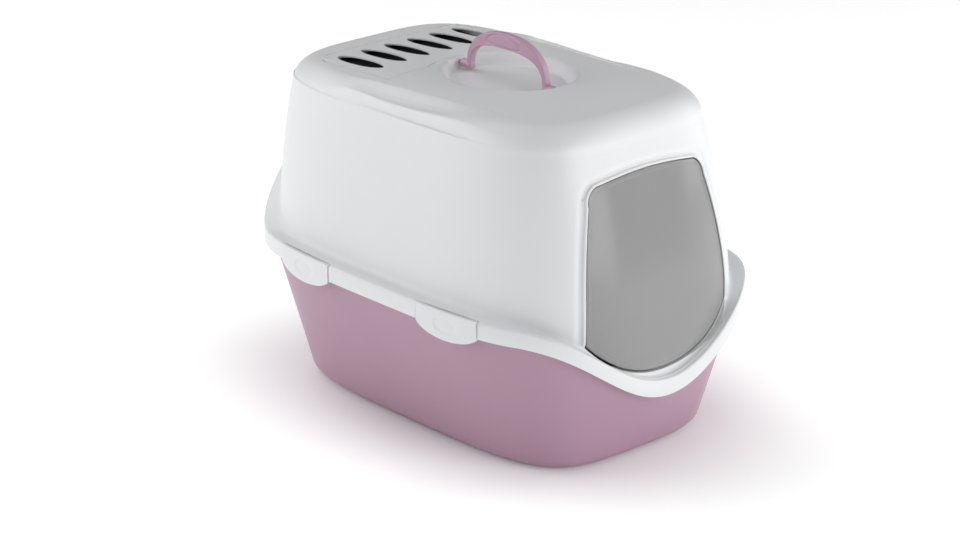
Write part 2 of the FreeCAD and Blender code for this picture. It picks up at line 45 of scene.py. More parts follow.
# ---- hood and tray, the same dimensions as the CAD
HALF_LENGTH = 280.0
HALF_WIDTH = 196.0
FLANGE_POWER = 3.8
BAND_LOW = 165.5
BAND_TOP = 185.5
FRONT_DIP = 82.4
REAR_RISE = 82.4
WAVE_REACH = 173.0
FRONT_POWER = 0.77
REAR_POWER = 0.75
REAR_FLAT = 40.0
HOOD_BASE = 185.0
HOOD_TOP = 390.5
WALL = 2.8
BAND_WALL = 4.0
SHELF = 3.5
RIM_GAP = 0.9
ROOF_EDGE = 23.0
ROOF_TILT = 0.022
ROOF_CROWN = 5.0
SHOULDER = HOOD_TOP - ROOF_EDGE
WALL_LEVEL = 280.0
RETURN_FLARE = 0.2

HANDLE_CENTRE = -13.0
HANDLE_PIVOT = 389.5
DISH_CENTRE = -14.5
DISH_RIM = (76.0, 85.5)          # half-width and half-length of the handle's dish
DISH_FLOOR = (56.0, 78.0)
DISH_DEPTH = 12.0
DISH_LOOP = (75.0, 84.5)         # oval that the mesh's rings follow around the dish

HOLLOW_FRONT = -192.0            # ends of the crescent hollow along the roof's edge
HOLLOW_REAR = 140.0
HOLLOW_DEPTH = 10.5

# right half of the doorway, in X and Z, from the sill's end up to the top
DOOR_CORNER = (108.5, 160.0)
DOOR_SIDE = (103.6, 235.0)
DOOR_SIDE_TOP = (88.6, 310.0)
DOOR_TURN = (85.8, 322.0)
DOOR_TOP_CORNER = (75.0, 331.0)
DOOR_BOTTOM = 110.5
DOOR_TOP = 337.0
DOOR_CUT = 1.2                   # the cut in the wall stays hidden under the doorway's lip

FLAP_AXIS = (-229.507, 318.0)
FLAP_GAP = 1.3
FLAP_BOTTOM_GAP = 3.0
FLAP_MIDDLE = (0.0, 225.0)
FLAP_REACH = 105.0               # mean distance from the flap's middle to its edge

COVER_HALF_WIDTH = 112.0
COVER_FRONT = 64.5
COVER_REAR = 199.0
COVER_CORNER = 26.0
COVER_NOTCH = 75.5
COVER_GAP = 1.3
SLOTS = 6
SLOT_PITCH = 35.05
SLOT_CENTRE = 142.5
SLOT_HALF_LENGTH = 40.0
SLOT_HALF_WIDTH = 11.2

PAD_HALF = (101.6, 53.3)         # charcoal pad
PAD_MIDDLE = 135.25

AROUND = 960              # points around the hood
TRAY_AROUND = 480


def smoothstep(low, high, value):
    t = np.clip((value - low) / (high - low), 0.0, 1.0)
    return t * t * (3 - 2 * t)


def hood_size(z):
    """Half-width, front reach, rear reach and squareness of the hood's outside at a height."""
    u = (z - HOOD_BASE) / (HOOD_TOP - HOOD_BASE)
    bulge = np.where(u > 0, 4 * u * (1 - u), 4 * u)
    below = HOOD_BASE - z
    foot = 0.2 * (below + np.sqrt(below * below + 625)) / 2
    half_width = 176 - 31 * u + 4.2 * bulge
    front = 270 - 52.7 * u + 4 * bulge - foot
    rear = 270 - 22.8 * u + 4.2 * bulge
    return half_width, front, rear, 3.7 + 0.7 * u


def flange_size(inset):
    def size(z):
        one = np.ones_like(z)
        length = (HALF_LENGTH - inset) * one
        return (HALF_WIDTH - inset) * one, length, length, FLANGE_POWER * one
    return size


def floor_size(shrink):
    def size(z):
        one = np.ones_like(z)
        return (142.5 - shrink) * one, (234.1 - shrink) * one, (227.1 - shrink) * one, 4.2 * one
    return size


def wave(x, side):
    """Height of the parting line above its level at the sides, at a distance from the middle."""
    if side < 0:
        return -FRONT_DIP * ((1 + np.cos(np.pi * np.minimum(x / WAVE_REACH, 1))) / 2) ** FRONT_POWER
    phase = np.clip((x - REAR_FLAT) / (WAVE_REACH - REAR_FLAT), 0, 1)
    return REAR_RISE * ((1 + np.cos(np.pi * phase)) / 2) ** REAR_POWER


def level(height):
    return lambda x, side: height + 0 * x


def following(base):
    return lambda x, side: base + wave(x, side)


def quarter(size, inset, height, side, count):
    """Evenly spaced points of a quarter outline, from the middle line to the side."""
    t = np.linspace(0, 1, 1400)
    z = np.full_like(t, HOOD_BASE)
    for _ in range(7):
        half_width, front, rear, power = size(z)
        a = t ** (power / 2)
        b = (1 - t) ** (power / 2)
        angle = np.pi / 2 * a / (a + b)
        share = np.sin(angle) ** (2 / power)
        x = share * (half_width - inset)
        z = height(x, side)
    y = side * np.cos(angle) ** (2 / power) * ((rear if side > 0 else front) - inset)
    way = np.concatenate([[0], np.cumsum(np.hypot(np.diff(x), np.diff(y)))])
    stops = np.linspace(0, way[-1], count + 1)
    return np.stack([np.interp(stops, way, v) for v in (x, y, z)], axis=1)


def ring(size, inset, height, tilt=0.0, around=AROUND):
    """Closed loop of points around the object, starting in the middle of the front."""
    count = around // 4
    front = quarter(size, inset, height, -1, count)
    rear = quarter(size, inset, height, 1, count)
    mirror = np.array([-1, 1, 1])
    loop = np.concatenate([front[:-1], rear[:0:-1], rear[:-1] * mirror, front[:0:-1] * mirror])
    loop[:, 2] -= tilt * loop[:, 1]
    return loop


def grid_normals(grid):
    """Normals of a closed strip of rings, given as an array (rings, points, 3)."""
    around = np.roll(grid, -1, axis=1) - np.roll(grid, 1, axis=1)
    up = np.gradient(grid, axis=0)
    normal = np.cross(around, up)
    return normal / np.maximum(np.linalg.norm(normal, axis=2, keepdims=True), 1e-9)


def mesh_object(name, vertices, faces, smooth=True):
    mesh = bpy.data.meshes.new(name)
    mesh.from_pydata([tuple(v) for v in np.asarray(vertices) * MM], [], faces)
    mesh.update()
    bm = bmesh.new()
    bm.from_mesh(mesh)
    bmesh.ops.recalc_face_normals(bm, faces=bm.faces)
    bm.to_mesh(mesh)
    bm.free()
    mesh.polygons.foreach_set("use_smooth", [smooth] * len(mesh.polygons))
    thing = bpy.data.objects.new(name, mesh)
    bpy.context.scene.collection.objects.link(thing)
    return thing


def rings_object(name, rings, cap_start=True, cap_end=True, loop=False):
    """Solid from a list of rings with the same number of points; capped ends close on a middle point."""
    count = len(rings[0])
    vertices = np.concatenate(rings)
    faces = []
    total = len(rings)
    for j in range(total if loop else total - 1):
        a = j * count
        b = ((j + 1) % total) * count
        for i in range(count):
            k = (i + 1) % count
            faces.append((a + i, a + k, b + k, b + i))
    extra = []
    for wanted, first in ((cap_start and not loop, 0), (cap_end and not loop, (total - 1) * count)):
        if wanted:
            middle = len(vertices) + len(extra)
            extra.append(vertices[first:first + count].mean(axis=0))
            for i in range(count):
                faces.append((first + i, first + (i + 1) % count, middle))
    if extra:
        vertices = np.concatenate([vertices, np.array(extra)])
    return mesh_object(name, vertices, faces)


def outline_prism(name, outline, direction, length):
    """Closed prism from a flat outline of 3-D points."""
    start = np.array(outline, float)
    shift = np.array(direction, float) * length
    count = len(start)
    vertices = np.concatenate([start, start + shift])
    faces = [tuple(range(count)), tuple(range(2 * count - 1, count - 1, -1))]
    faces += [(i, (i + 1) % count, (i + 1) % count + count, i + count) for i in range(count)]
    return mesh_object(name, vertices, faces, smooth=False)


def block(name, low, high):
    x0, y0, z0 = low
    x1, y1, z1 = high
    return outline_prism(name, [(x0, y0, z0), (x1, y0, z0), (x1, y1, z0), (x0, y1, z0)], (0, 0, 1), z1 - z0)


def apply_modifiers(thing):
    graph = bpy.context.evaluated_depsgraph_get()
    mesh = bpy.data.meshes.new_from_object(thing.evaluated_get(graph))
    old = thing.data
    thing.modifiers.clear()
    thing.data = mesh
    bpy.data.meshes.remove(old)


def boolean(thing, tool, operation="DIFFERENCE"):
    modifier = thing.modifiers.new("cut", "BOOLEAN")
    modifier.operation = operation
    modifier.solver = "MANIFOLD"
    modifier.object = tool
    bpy.context.view_layer.update()
    apply_modifiers(thing)
    bpy.data.objects.remove(tool)


def sharp_by_angle(thing, degrees=32):
    """Smooth shading with crisp edges where two faces meet at more than an angle."""
    mesh = thing.data
    bm = bmesh.new()
    bm.from_mesh(mesh)
    limit = math.radians(degrees)
    for edge in bm.edges:
        if len(edge.link_faces) == 2:
            edge.smooth = edge.calc_face_angle(0) < limit
    for face in bm.faces:
        face.smooth = True
    bm.to_mesh(mesh)
    bm.free()


def round_edges(thing, width, segments=2, degrees=40):
    modifier = thing.modifiers.new("round", "BEVEL")
    modifier.width = width * MM
    modifier.segments = segments
    modifier.limit_method = "ANGLE"
    modifier.angle_limit = math.radians(degrees)
    modifier.harden_normals = False
    apply_modifiers(thing)


# ---------------------------------------------------------------- roof surface
def roof_outline_x(y):
    """Half-width of the wall's outline just under the roof, at a place along the box."""
    reach = np.where(y < 0, 217.3, 247.2)
    return 146.5 * (1 - np.minimum(np.abs(y) / reach, 0.999) ** 4.4) ** (1 / 4.4)


def hollow_width(y):
    """Width of the crescent hollow at the roof's side edge, measured in from the outline."""
    return np.interp(y, (-185, -150, -100, -42, 34, 76, 117, 135), (20, 30, 33, 31, 25, 22, 13, 9))


def hollow_share(y):
    t = np.clip((y - HOLLOW_FRONT) / (HOLLOW_REAR - HOLLOW_FRONT), 0, 1)
    return np.sin(np.pi * t ** 1.45)


def shape_hollow(points, normal_share):
    """Move points of the rounded roof edge onto the crescent hollow's section."""
    out = points.copy()
    x = np.abs(points[..., 0])
    y = points[..., 1]
    z = points[..., 2]
    crease = roof_outline_x(y)
    width = hollow_width(y)
    share = hollow_share(y)
    roof = HOOD_TOP + 3.2 - ROOF_TILT * y
    # place along the section: 0 at the shoulder, 1 at the hollow's upper edge
    arc_length = ROOF_EDGE * np.pi / 2
    flat_length = np.maximum(width - ROOF_EDGE, 0) + 1.0
    q = normal_share * arc_length
    inside = np.maximum(crease - ROOF_EDGE - x, 0)
    q = np.where(normal_share >= 1, arc_length + inside, q)
    q = np.clip(q / (arc_length + flat_length), 0, 1)
    depth = HOLLOW_DEPTH * share
    low = roof - depth - 2
    # section: up the wall, round the crease, dip, and up to the roof
    knots_q = np.array([0.0, 0.30, 0.345, 0.40, 0.50, 0.62, 0.74, 0.86, 1.0])
    target_x = np.zeros_like(x)
    target_z = np.zeros_like(z)
    rise = roof - low
    sections_x = [crease + 1.2, crease + 0.1, crease - 0.9, crease - 3.2, crease - 0.26 * width,
                  crease - 0.48 * width, crease - 0.68 * width, crease - 0.86 * width, crease - width - 1]
    sections_z = [SHOULDER + 0 * z, low - 1.6, low - 0.2, low + 0.3, low + 0.12 * rise,
                  low + 0.36 * rise, low + 0.68 * rise, low + 0.92 * rise, roof]
    for k in range(len(knots_q) - 1):
        part = (q >= knots_q[k]) & (q <= knots_q[k + 1])
        t = np.clip((q - knots_q[k]) / (knots_q[k + 1] - knots_q[k]), 0, 1)
        target_x = np.where(part, sections_x[k] * (1 - t) + sections_x[k + 1] * t, target_x)
        target_z = np.where(part, sections_z[k] * (1 - t) + sections_z[k + 1] * t, target_z)
    weight = smoothstep(0.0, 0.95, share) * (q < 1)
    weight = np.where((y > HOLLOW_FRONT) & (y < HOLLOW_REAR), weight, 0)
    new_x = x * (1 - weight) + target_x * weight
    out[..., 0] = np.where(points[..., 0] < 0, -new_x, new_x)
    out[..., 2] = z * (1 - weight) + target_z * weight
    return out


def dish_drop(x, y):
    """How far the roof sinks into the handle's dish."""
    dy = y - DISH_CENTRE
    rim = np.sqrt((x / DISH_RIM[0]) ** 2 + (dy / DISH_RIM[1]) ** 2)
    bottom = np.sqrt((x / DISH_FLOOR[0]) ** 2 + ((y - HANDLE_CENTRE) / DISH_FLOOR[1]) ** 2)
    outside = np.maximum(bottom - 1, 0)
    inside = np.maximum(1 - rim, 0)
    t = outside / np.maximum(outside + inside, 1e-6)
    return DISH_DEPTH * (1 - smoothstep(0.0, 1.0, t) ** 0.9)


def oval_loop(scale, around=AROUND):
    """Loop of the dish's outline, with its points matched to the hood's rings."""
    count = around // 4
    angle = np.linspace(0, np.pi / 2, 1400)
    loops = []
    for side in (-1, 1):
        x = DISH_LOOP[0] * scale * np.sin(angle)
        y = DISH_LOOP[1] * scale * side * np.cos(angle) + DISH_CENTRE
        way = np.concatenate([[0], np.cumsum(np.hypot(np.diff(x), np.diff(y)))])
        stops = np.linspace(0, way[-1], count + 1)
        loops.append(np.stack([np.interp(stops, way, v) for v in (x, y, 0 * x)], axis=1))
    front, rear = loops
    mirror = np.array([-1, 1, 1])
    return np.concatenate([front[:-1], rear[:0:-1], rear[:-1] * mirror, front[:0:-1] * mirror])


# ---------------------------------------------------------------- doorway
def circle_arc(a, b, c, count):
    """Points of the circular arc through three points of the plane."""
    (ax, ay), (bx, by), (cx, cy) = a, b, c
    d = 2 * (ax * (by - cy) + bx * (cy - ay) + cx * (ay - by))
    aa, bb, cc = ax * ax + ay * ay, bx * bx + by * by, cx * cx + cy * cy
    ux = (aa * (by - cy) + bb * (cy - ay) + cc * (ay - by)) / d
    uy = (aa * (cx - bx) + bb * (ax - cx) + cc * (bx - ax)) / d
    start = math.atan2(ay - uy, ax - ux)
    middle = math.atan2(by - uy, bx - ux)
    finish = math.atan2(cy - uy, cx - ux)
    turn = (finish - start) % (2 * math.pi)
    if (middle - start) % (2 * math.pi) > turn:
        turn -= 2 * math.pi
    radius = math.hypot(ax - ux, ay - uy)
    angles = start + turn * np.linspace(0, 1, count, endpoint=False)
    return np.stack([ux + radius * np.cos(angles), uy + radius * np.sin(angles)], axis=1)


def door_outline(gap=0.0, count=1, bottom_gap=0.0):
    """Closed outline of the doorway in X and Z, counter-clockwise seen from the front's outside."""
    corner = (DOOR_CORNER[0] - gap, DOOR_CORNER[1] + gap)
    side = (DOOR_SIDE[0] - gap, DOOR_SIDE[1])
    side_top = (DOOR_SIDE_TOP[0] - gap, DOOR_SIDE_TOP[1])
    turn = (DOOR_TURN[0] - 0.8 * gap, DOOR_TURN[1] - 0.6 * gap)
    top = (DOOR_TOP_CORNER[0] - 0.5 * gap, DOOR_TOP_CORNER[1] - gap)

    def flip(p):
        return (-p[0], p[1])
    return np.concatenate([
        circle_arc(flip(corner), (0, DOOR_BOTTOM + bottom_gap), corner, 90 * count),
        circle_arc(corner, side, side_top, 60 * count),
        circle_arc(side_top, turn, top, 16 * count),
        circle_arc(top, (0, DOOR_TOP - gap), flip(top), 60 * count),
        circle_arc(flip(top), flip(turn), flip(side_top), 16 * count),
        circle_arc(flip(side_top), flip(side), flip(corner), 60 * count),
    ])


def front_wall(x, z):
    half_width, front, _, power = hood_size(z)
    share = np.minimum(np.abs(x) / half_width, 0.999)
    return -front * (1 - share ** power) ** (1 / power)


def outline_distance(points, outline):
    """Distance from points to a closed outline, and whether they lie inside it."""
    a = outline
    b = np.roll(outline, -1, axis=0)
    d = b - a
    length = (d * d).sum(axis=1)
    best = np.full(len(points), 1e9)
    inside = np.zeros(len(points), bool)
    for i in range(len(a)):
        t = np.clip(((points - a[i]) @ d[i]) / length[i], 0, 1)
        gap = points - (a[i] + t[:, None] * d[i])
        best = np.minimum(best, np.hypot(gap[:, 0], gap[:, 1]))
        crosses = (a[i, 1] > points[:, 1]) != (b[i, 1] > points[:, 1])
        if d[i, 1] != 0:
            inside ^= crosses & (points[:, 0] < a[i, 0] + (points[:, 1] - a[i, 1]) * d[i, 0] / d[i, 1])
    return best, inside


def shape_groove(points, normals):
    """Press the soft groove into the front wall around the doorway's lip."""
    out = points.copy()
    near = (points[..., 1] < -150) & (np.abs(points[..., 0]) < 150) & (points[..., 2] < 360)
    flat = points[near]
    distance, inside = outline_distance(flat[:, (0, 2)], door_outline())
    depth = 1.7 * np.exp(-((distance - 6.8) / 3.0) ** 2)
    depth = np.where(inside, 0, depth) * smoothstep(146, 176, flat[:, 2])
    out[near] = flat - normals[near] * depth[:, None]
    return out


# ---------------------------------------------------------------- hood
def hood_outer():
    """Outer strip of the hood from the cove's top to the middle of the dish, before shaping, with a share per
    ring that tells the shaping which part of the hood it lies on.
    """
    rings = []
    shares = []
    cove_top = BAND_TOP + 8
    for up in np.linspace(0, 1, 46):
        def height(x, side, up=up):
            return (cove_top + wave(x, side)) * (1 - up) + WALL_LEVEL * up
        rings.append(ring(hood_size, 0, height))
        shares.append(0)
    for z in np.linspace(WALL_LEVEL, SHOULDER, 40)[1:-1]:
        rings.append(ring(hood_size, 0, level(z)))
        shares.append(0)
    for angle in np.linspace(0, np.pi / 2, 26):
        size_height = SHOULDER + ROOF_EDGE * math.sin(angle)
        inward = ROOF_EDGE * (1 - math.cos(angle))
        share = ((size_height - HOOD_BASE) / (HOOD_TOP - HOOD_BASE)) ** 2
        rings.append(ring(hood_size, inward, level(size_height), ROOF_TILT * share))
        shares.append(angle / (np.pi / 2))
    edge = rings[-1]
    inner = oval_loop(1.12)
    for t in np.linspace(0, 1, 46)[1:]:
        loop = edge * (1 - t) + inner * t
        loop[:, 2] = HOOD_TOP + ROOF_CROWN * (1 - (1 - t) ** 2) - ROOF_TILT * loop[:, 1]
        rings.append(loop)
        shares.append(1 + t)
    dish_steps = list(np.linspace(1.12, 0.70, 44)[1:]) + list(np.linspace(0.70, 0.04, 20)[1:])
    for scale in dish_steps:
        loop = oval_loop(scale)
        loop[:, 2] = HOOD_TOP + ROOF_CROWN - ROOF_TILT * loop[:, 1]
        rings.append(loop)
        shares.append(3)
    return np.array(rings), np.array(shares)


def make_hood(base, shares):
    """The whole hood moulding as one skin: outside, inside, ledge and band."""
    normals = grid_normals(base)
    if normals[0, 0, 1] > 0:
        normals = -normals
    outer = base.copy()
    edge_rows = (shares > 0) & (shares < 2.5)
    wide = np.minimum(shares, 1)[:, None] * np.ones(base.shape[1])
    outer[edge_rows] = shape_hollow(base[edge_rows], wide[edge_rows])
    outer = shape_groove(outer, normals)
    drop = dish_drop(outer[..., 0], outer[..., 1]) * (shares > 1)[:, None]
    outer[..., 2] -= drop
    inner = outer - normals * WALL
    inner_rows = inner[::-1]

    top = BAND_TOP
    low = BAND_LOW
    strip = []
    strip.append(ring(hood_size, WALL, following(top - SHELF)))
    strip.append(ring(flange_size(BAND_WALL + 3.0), 0, following(top - SHELF)))
    strip.append(ring(flange_size(BAND_WALL + 0.6), 0, following(top - SHELF - 0.6)))
    strip.append(ring(flange_size(BAND_WALL), 0, following(top - SHELF - 3.0)))
    for z in np.linspace(top - SHELF - 6, low + 0.8, 4):
        strip.append(ring(flange_size(BAND_WALL), 0, following(z)))
    for inset, z in ((BAND_WALL - 0.3, low + 0.2), (BAND_WALL - 0.8, low), (0.8, low), (0.3, low + 0.2),
                     (0.0, low + 0.8), (0.0, low + 7), (0.0, top - 7), (0.0, top - 3.0),
                     (0.35, top - 1.5), (1.1, top - 0.45), (2.3, top), (4.2, top + 0.4)):
        strip.append(ring(flange_size(inset), 0, following(z)))
    outer_flat = ring(flange_size(4.2), 0, following(top + 0.4))
    foot = ring(hood_size, -7.0, following(top + 1.2))
    for t in (0.35, 0.7, 1.0):
        strip.append(outer_flat * (1 - t) + foot * t)
    for angle in np.radians((14, 28, 42, 56, 70, 80)):
        outward = 7.0 * (1 - math.sin(angle))
        lift = 1.2 + 6.8 * (1 - math.cos(angle))
        strip.append(ring(hood_size, -outward, following(top + lift)))
    rings = list(inner_rows) + strip + list(outer)
    hood = rings_object("hood", rings)
    door = door_outline(-DOOR_CUT)
    boolean(hood, outline_prism("door_tool", [(x, -400, z) for x, z in door], (0, 1, 0), 260))
    boolean(hood, cover_tool(0.0, 365.0, 420.0))
    for side in (-1, 1):
        for end in (-1, 1):
            boolean(hood, latch_notch(side, end))
    sharp_by_angle(hood, 34)
    return hood


# ---------------------------------------------------------------- filter cover
def cover_outline(gap):
    """Outline of the filter cover in X and Y, drawn inwards by gap."""
    x = COVER_HALF_WIDTH - gap
    front = COVER_FRONT + gap
    rear = COVER_REAR - gap
    radius = COVER_CORNER - gap
    notch = COVER_NOTCH + gap
    bend = radius * (1 - math.cos(math.pi / 4))
    points = [(x, front)]
    right = circle_arc((x, rear - radius), (x - bend, rear - bend), (x - radius, rear), 16)
    left = circle_arc((radius - x, rear), (bend - x, rear - bend), (-x, rear - radius), 16)
    points += [tuple(p) for p in right]
    points += [tuple(p) for p in left]
    points += [(-x, rear - radius), (-x, front), (-56 - gap, front)]
    steps = np.linspace(0, 1, 14)[1:-1]
    for t in steps:
        points.append((-56 + 32 * t - gap * (1 - t), front + (notch - front) * float(smoothstep(0, 1, t))))
    points += [(-24 - gap, notch), (24 + gap, notch)]
    for t in steps[::-1]:
        points.append((56 - 32 * t + gap * (1 - t), front + (notch - front) * float(smoothstep(0, 1, t))))
    points.append((56 + gap, front))
    return points


def cover_tool(gap, low, high):
    return outline_prism("cover_tool", [(x, y, low) for x, y in cover_outline(gap)], (0, 0, 1), high - low)


def roof_slab(name, top, thickness, low_x, high_x, low_y, high_y, probe):
    """Slab that follows the roof between two depths under its surface, over a rectangle."""
    xs = np.arange(low_x, high_x + 0.1, 4.0)
    ys = np.arange(low_y, high_y + 0.1, 4.0)
    gx, gy = np.meshgrid(xs, ys, indexing="ij")
    gz = probe(gx, gy) - top
    upper = np.stack([gx, gy, gz], axis=2).reshape(-1, 3)
    lower = upper - np.array([0, 0, thickness])
    nx, ny = len(xs), len(ys)
    faces = []
    for i in range(nx - 1):
        for j in range(ny - 1):
            a, b, c, d = i * ny + j, (i + 1) * ny + j, (i + 1) * ny + j + 1, i * ny + j + 1
            faces.append((a, b, c, d))
            faces.append((a + nx * ny, d + nx * ny, c + nx * ny, b + nx * ny))
    rim = [i * ny for i in range(nx)] + [(nx - 1) * ny + j for j in range(1, ny)]
    rim += [i * ny + ny - 1 for i in range(nx - 2, -1, -1)] + list(range(ny - 2, 0, -1))
    for k in range(len(rim)):
        a, b = rim[k], rim[(k + 1) % len(rim)]
        faces.append((a, a + nx * ny, b + nx * ny, b))
    return mesh_object(name, np.concatenate([upper, lower]), faces)


def surface_probe(rows):
    """Height of the hood's roof rings over X and Y, read by interpolation between near points."""
    points = rows.reshape(-1, 3)
    tree = kdtree.KDTree(len(points))
    for i, p in enumerate(points):
        tree.insert((p[0], p[1], 0), i)
    tree.balance()

    def probe(gx, gy):
        out = np.zeros_like(gx)
        for index in np.ndindex(gx.shape):
            found = tree.find_n((gx[index], gy[index], 0), 6)
            weights = [1 / (0.3 + d) ** 2 for _, _, d in found]
            out[index] = sum(w * points[i][2] for w, (_, i, _) in zip(weights, found)) / sum(weights)
        return out
    return probe


def lens_tool(x):
    """Cutter for a lens-shaped slot, running front to back."""
    steps = np.sin(np.linspace(-np.pi / 2, np.pi / 2, 49))
    width = SLOT_HALF_WIDTH * (1 - np.abs(steps) ** 2.4) ** 0.6
    y = SLOT_CENTRE + SLOT_HALF_LENGTH * steps
    points = list(zip(x + width, y)) + list(zip(x - width[-2:0:-1], y[-2:0:-1]))
    return outline_prism("lens_tool", [(px, py, 365.0) for px, py in points], (0, 0, 1), 60)


def make_cover(probe):
    cover = roof_slab("cover", 0.05, 1.9, -120, 120, 56, 208, probe)
    boolean(cover, cover_tool(COVER_GAP, 360, 420), "INTERSECT")
    for i in range(SLOTS):
        boolean(cover, lens_tool((i - (SLOTS - 1) / 2) * SLOT_PITCH))
    round_edges(cover, 0.45, 2, 50)
    sharp_by_angle(cover, 35)
    return cover


def make_filter_seat(probe):
    """Ledge, basket walls and grille under the cover, moulded in one with the hood."""
    seat = roof_slab("filter_seat", 2.6, 2.4, -120, 120, 56, 208, probe)
    boolean(seat, cover_tool(-1.6, 350, 420), "INTERSECT")
    walls = block("walls", (-105.4, 78.1, 370.6), (105.4, 192.4, 388.0))
    boolean(seat, walls, "UNION")
    boolean(seat, block("pit", (-103, 80.5, 373.0), (103, 190, 420)))
    for i in range(9):
        x = (i - 4) * 206 / 9
        boolean(seat, block("grille", (x - 6, 88.5, 366), (x + 6, 182, 378)))
    sharp_by_angle(seat, 35)
    return seat


def make_pad():
    """Carbon felt pad: a soft slab with a slightly crowned top and rounded edges."""
    def loop(inset, z):
        angle = np.linspace(0, 2 * np.pi, 160, endpoint=False)
        c, s = np.cos(angle), np.sin(angle)
        x = np.sign(c) * np.abs(c) ** 0.14 * (PAD_HALF[0] - inset)
        y = np.sign(s) * np.abs(s) ** 0.14 * (PAD_HALF[1] - inset) + PAD_MIDDLE
        return np.stack([x, y, z + 0 * x], axis=1)

    section = ((52.5, 373.5), (6, 373.5), (1.2, 373.8), (0, 375.2), (0, 379.6), (0.5, 381.2),
               (2.0, 382.2), (8, 382.6), (30, 382.7), (52, 382.7))
    return rings_object("carbon_pad", [loop(inset, z) for inset, z in section])


# ---------------------------------------------------------------- doorway frame and flap
def outline_normals(outline):
    d = np.roll(outline, -1, axis=0) - np.roll(outline, 1, axis=0)
    n = np.stack([d[:, 1], -d[:, 0]], axis=1)
    n /= np.linalg.norm(n, axis=1, keepdims=True)
    middle = outline.mean(axis=0)
    if ((outline - middle) * n).sum() < 0:
        n = -n
    return n


def make_door_frame():
    """Bright lip around the doorway with its return flange behind, following the front wall."""
    outline = door_outline(0.0, 2)
    normal = outline_normals(outline)
    lip = smoothstep(160.5, 166, outline[:, 1])
    profile = []
    for d, e_lip, e_low in ((0.0, 27.5, 27.5), (0.0, 14.0, 14.0), (0.0, 2.0, 2.0), (0.0, 0.2, 1.0),
                            (0.15, -0.55, 0.8), (0.7, -1.15, 0.6), (1.6, -1.35, 0.6), (2.5, -1.15, 0.6),
                            (3.2, -0.5, 0.7), (3.6, 0.6, 0.9), (3.6, 2.6, 2.6), (2.4, 3.0, 3.0),
                            (2.4, 14.0, 14.0), (2.4, 27.5, 27.5)):
        x = outline[:, 0] + d * normal[:, 0]
        z = outline[:, 1] + d * normal[:, 1]
        depth = e_low * (1 - lip) + e_lip * lip
        y = front_wall(x, z) + depth
        flare = RETURN_FLARE * np.maximum(depth, 0) * smoothstep(0, 70, np.abs(x))
        profile.append(np.stack([x + np.sign(x) * flare, y, z], axis=1))
    door_frame = rings_object("door_frame", profile, loop=True)
    sharp_by_angle(door_frame, 50)
    return door_frame


def make_flap():
    """Smoke-grey swing flap with a low border; the hinge knuckles are joined to it below, and the pegs go
    with the hood.
    """
    outline = door_outline(FLAP_GAP, 1, FLAP_BOTTOM_GAP)
    middle = np.array(FLAP_MIDDLE)

    def loop(scale, recess):
        flat = middle + (outline - middle) * scale
        y = front_wall(flat[:, 0], flat[:, 1]) + recess
        return np.stack([flat[:, 0], y, flat[:, 1]], axis=1)

    rings = []
    for k in (0.02, 0.15, 0.3, 0.45, 0.6, 0.75, 0.88, 1.0):
        rings.append(loop(k * 0.95, 1.0))
    for inset, recess in ((5.2, 1.0), (4.6, 0.72), (4.0, 0.55), (1.0, 0.5), (0.4, 0.62), (0.05, 1.0),
                          (0.0, 1.6), (0.05, 2.4), (0.4, 2.75), (1.0, 2.8)):
        rings.append(loop(1 - inset / FLAP_REACH, recess))
    for k in (1.0, 0.88, 0.75, 0.6, 0.45, 0.3, 0.15, 0.02):
        rings.append(loop(k * 0.95, 2.8))
    return rings_object("flap", rings)


def lathe_x(name, profile, y, z, segments=40):
    """Solid of revolution about a line along X, from (x, radius) pairs."""
    angle = np.linspace(0, 2 * np.pi, segments, endpoint=False)
    across = np.cos(angle)
    up = np.sin(angle)
    rings = [np.stack([x + 0 * angle, y + r * across, z + r * up], axis=1) for x, r in profile]
    return rings_object(name, rings)


def lathe_y(name, profile, x, z, segments=40):
    """Solid of revolution about a line along Y, from (y, radius) pairs."""
    angle = np.linspace(0, 2 * np.pi, segments, endpoint=False)
    across = np.cos(angle)
    up = np.sin(angle)
    rings = [np.stack([x + r * across, y + 0 * angle, z + r * up], axis=1) for y, r in profile]
    return rings_object(name, rings)


def join(name, things):
    bpy.ops.object.select_all(action="DESELECT")
    for thing in things:
        thing.select_set(True)
    bpy.context.view_layer.objects.active = things[0]
    bpy.ops.object.join()
    joined = bpy.context.view_layer.objects.active
    joined.name = name
    joined.data.name = name
    return joined


# ---------------------------------------------------------------- latches
LATCH_CENTRE = 122.0
LATCH_HALF = 47.0
LATCH_DROP = 13.3


def flange_x(y):
    return HALF_WIDTH * (1 - (np.abs(y) / HALF_LENGTH) ** FLANGE_POWER) ** (1 / FLANGE_POWER)


def latch_notch(side, end):
    """Block that frees a latch's space in the band."""
    y0 = end * LATCH_CENTRE - LATCH_HALF
    y1 = end * LATCH_CENTRE + LATCH_HALF
    x0, x1 = float(flange_x(y0)), float(flange_x(y1))
    points = [(side * (x0 - 3.7), y0, 150), (side * (x1 - 3.7), y1, 150),
              (side * (x1 + 9), y1, 150), (side * (x0 + 9), y0, 150)]
    return outline_prism("notch", points, (0, 0, 1), 60)


